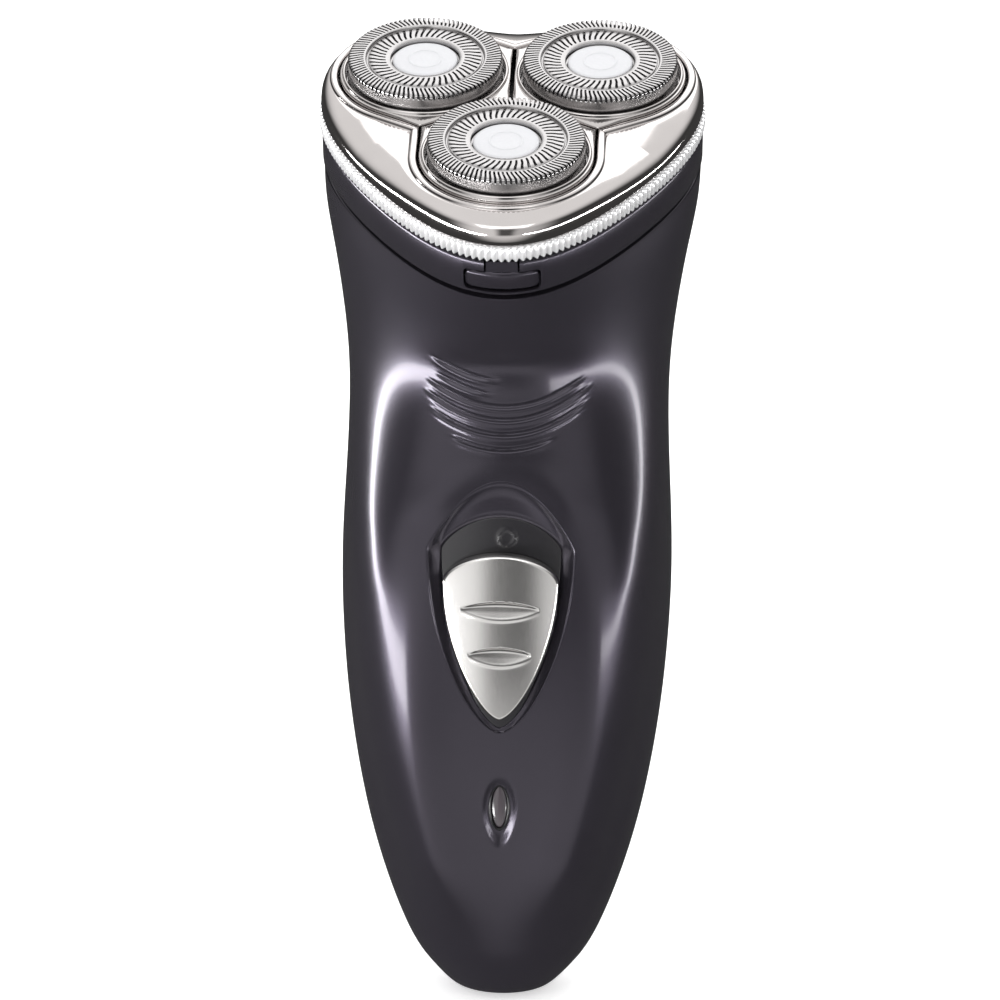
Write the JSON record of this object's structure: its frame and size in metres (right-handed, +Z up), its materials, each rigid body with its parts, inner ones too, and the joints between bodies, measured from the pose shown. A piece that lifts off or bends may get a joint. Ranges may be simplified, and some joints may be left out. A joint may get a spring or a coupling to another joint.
{
  "type": "electric shaver",
  "caption": "Cordless rotary shaver: curved handle with a sliding switch, and a tilted head of three floating, slotted shaving heads that lifts open.",
  "frame": {"origin": "centre of the charging inlet, on the flat bottom end of the handle", "axes": "+Z up the handle to the head, -Y out of the switch face, +X to the right as seen facing the switch"},
  "size_m": [0.0606, 0.0593, 0.1545],
  "materials": {
    "shell_plastic": "soft gloss charcoal",
    "collar_plastic": "soft gloss, darker",
    "chrome_plate": "bright plated plastic",
    "clear_band": "clear over silver",
    "guard_steel": "turned",
    "white_plastic": "matt",
    "switch_silver": "satin plated",
    "inner_plastic": "moulded",
    "gear_nylon": "moulded",
    "brass": "turned",
    "steel": "bright",
    "battery_wrap": "shrink film",
    "circuit_board": "lacquered",
    "light_lens": "dark, clear"
  },
  "bodies": {
    "handle": {"battery_left": "battery_wrap", "battery_link": "steel", "battery_right": "battery_wrap", "battery_tab_left": "steel", "battery_tab_right": "steel", "charge_led": "white_plastic", "circuit_board": "circuit_board", "collar": "collar_plastic", "drive_deck": "inner_plastic", "front_shell": "shell_plastic", "gear_bracket": "steel", "hinge_pin": "steel", "inlet_housing": "inner_plastic", "inlet_pin_left": "brass", "inlet_pin_right": "brass", "light_lens": "light_lens", "motor_can": "steel", "motor_end_cap": "inner_plastic", "rear_shell": "shell_plastic", "release_spring": "steel", "shell_screw_left": "steel", "shell_screw_right": "steel", "switch_bezel": "collar_plastic", "trimmer_pin": "steel", "trimmer_well": "inner_plastic"},
    "shaving_unit": {"head_plate": "chrome_plate", "serrated_band": "clear_band", "pod_frame": "inner_plastic", "retaining_frame": "inner_plastic"},
    "lock_knob": {"retaining_knob": "inner_plastic"},
    "rotor": {"motor_rotor": "steel", "motor_pinion": "brass"},
    "switch": {"power_switch": "switch_silver", "switch_carriage": "inner_plastic"},
    "release": {"release_button": "collar_plastic"},
    "trimmer": {"trimmer_door": "shell_plastic", "trimmer_comb": "steel"},
    "trimmer_cutter": {"trimmer_blade": "steel"},
    "trimmer_catch": {"trimmer_slide": "collar_plastic"},
    "pod_holder_front": {"pod_front": "chrome_plate"},
    "guard_cup_front": {"guard_front": "guard_steel", "guard_cap_front": "white_plastic"},
    "rotary_cutter_front": {"cutter_front": "steel"},
    "spindle_front": {"drive_spindle_front": "inner_plastic", "spindle_gear_front": "gear_nylon", "spindle_spring_front": "steel"},
    "pod_holder_right": {"pod_right": "chrome_plate"},
    "guard_cup_right": {"guard_right": "guard_steel", "guard_cap_right": "white_plastic"},
    "rotary_cutter_right": {"cutter_right": "steel"},
    "spindle_right": {"drive_spindle_right": "inner_plastic", "spindle_gear_right": "gear_nylon", "spindle_spring_right": "steel"},
    "pod_holder_left": {"pod_left": "chrome_plate"},
    "guard_cup_left": {"guard_left": "guard_steel", "guard_cap_left": "white_plastic"},
    "rotary_cutter_left": {"cutter_left": "steel"},
    "spindle_left": {"drive_spindle_left": "inner_plastic", "spindle_gear_left": "gear_nylon", "spindle_spring_left": "steel"}
  },
  "joints": [
    {"name": "head_open", "type": "hinge", "parent": "handle", "child": "shaving_unit", "pos_m": [0, 0.02762, 0.14741], "axis": [-1, 0, 0], "range_deg": [0, 100]},
    {"name": "lock_turn", "type": "hinge", "parent": "shaving_unit", "child": "lock_knob", "pos_m": [0, 0.00416, 0.13717], "axis": [0, -0.3907, 0.9205], "range_deg": [0, 90]},
    {"name": "motor_spin", "type": "hinge", "parent": "handle", "child": "rotor", "pos_m": [0, 0.00963, 0.12429], "axis": [0, -0.3907, 0.9205], "continuous": true},
    {"name": "power_slide", "type": "slide", "parent": "handle", "child": "switch", "axis": [0, 0, 1], "range_m": [0, 0.0045]},
    {"name": "release_push", "type": "slide", "parent": "handle", "child": "release", "axis": [0, 0.9205, 0.3907], "range_m": [0, 0.001], "stiffness_N_per_m": 600, "springref_m": -0.0003, "deforming": ["release_spring"]},
    {"name": "trimmer_open", "type": "hinge", "parent": "handle", "child": "trimmer", "pos_m": [0, 0.0255, 0.117], "axis": [-1, 0, 0], "range_deg": [0, 75]},
    {"name": "trimmer_stroke", "type": "slide", "parent": "trimmer", "child": "trimmer_cutter", "axis": [1, 0, 0], "range_m": [-0.0008, 0.0008]},
    {"name": "trimmer_unlock", "type": "slide", "parent": "handle", "child": "trimmer_catch", "axis": [0, 0, -1], "range_m": [0, 0.0025], "stiffness_N_per_m": 300, "springref_m": -0.0003},
    {"name": "pod_tilt_front", "type": "hinge", "parent": "shaving_unit", "child": "pod_holder_front", "pos_m": [0, -0.01275, 0.13651], "axis": [1, 0, 0], "range_deg": [-3, 3], "stiffness_Nm_per_rad": 0.4},
    {"name": "guard_float_front", "type": "slide", "parent": "pod_holder_front", "child": "guard_cup_front", "axis": [0, 0.3907, -0.9205], "range_m": [0, 0.0012], "stiffness_N_per_m": 400, "springref_m": -0.0004},
    {"name": "cutter_spin_front", "type": "hinge", "parent": "guard_cup_front", "child": "rotary_cutter_front", "pos_m": [0, -0.01275, 0.13651], "axis": [0, -0.3907, 0.9205], "continuous": true},
    {"name": "spindle_spin_front", "type": "hinge", "parent": "handle", "child": "spindle_front", "pos_m": [0, -0.00806, 0.12547], "axis": [0, -0.3907, 0.9205], "continuous": true},
    {"name": "pod_tilt_right", "type": "hinge", "parent": "shaving_unit", "child": "pod_holder_right", "pos_m": [0.0137, 0.00909, 0.14579], "axis": [-0.5, 0.7972, 0.3384], "range_deg": [-3, 3], "stiffness_Nm_per_rad": 0.4},
    {"name": "guard_float_right", "type": "slide", "parent": "pod_holder_right", "child": "guard_cup_right", "axis": [0, 0.3907, -0.9205], "range_m": [0, 0.0012], "stiffness_N_per_m": 400, "springref_m": -0.0004},
    {"name": "cutter_spin_right", "type": "hinge", "parent": "guard_cup_right", "child": "rotary_cutter_right", "pos_m": [0.0137, 0.00909, 0.14579], "axis": [0, -0.3907, 0.9205], "continuous": true},
    {"name": "spindle_spin_right", "type": "hinge", "parent": "handle", "child": "spindle_right", "pos_m": [0.0137, 0.01378, 0.13474], "axis": [0, -0.3907, 0.9205], "continuous": true},
    {"name": "pod_tilt_left", "type": "hinge", "parent": "shaving_unit", "child": "pod_holder_left", "pos_m": [-0.0137, 0.00909, 0.14579], "axis": [-0.5, -0.7972, -0.3384], "range_deg": [-3, 3], "stiffness_Nm_per_rad": 0.4},
    {"name": "guard_float_left", "type": "slide", "parent": "pod_holder_left", "child": "guard_cup_left", "axis": [0, 0.3907, -0.9205], "range_m": [0, 0.0012], "stiffness_N_per_m": 400, "springref_m": -0.0004},
    {"name": "cutter_spin_left", "type": "hinge", "parent": "guard_cup_left", "child": "rotary_cutter_left", "pos_m": [-0.0137, 0.00909, 0.14579], "axis": [0, -0.3907, 0.9205], "continuous": true},
    {"name": "spindle_spin_left", "type": "hinge", "parent": "handle", "child": "spindle_left", "pos_m": [-0.0137, 0.01378, 0.13474], "axis": [0, -0.3907, 0.9205], "continuous": true}
  ],
  "couplings": [
    {"joint": "cutter_spin_front", "follows": "motor_spin", "ratio": -0.66667},
    {"joint": "spindle_spin_front", "follows": "motor_spin", "ratio": -0.66667},
    {"joint": "cutter_spin_right", "follows": "motor_spin", "ratio": -0.66667},
    {"joint": "spindle_spin_right", "follows": "motor_spin", "ratio": -0.66667},
    {"joint": "cutter_spin_left", "follows": "motor_spin", "ratio": -0.66667},
    {"joint": "spindle_spin_left", "follows": "motor_spin", "ratio": -0.66667}
  ]
}
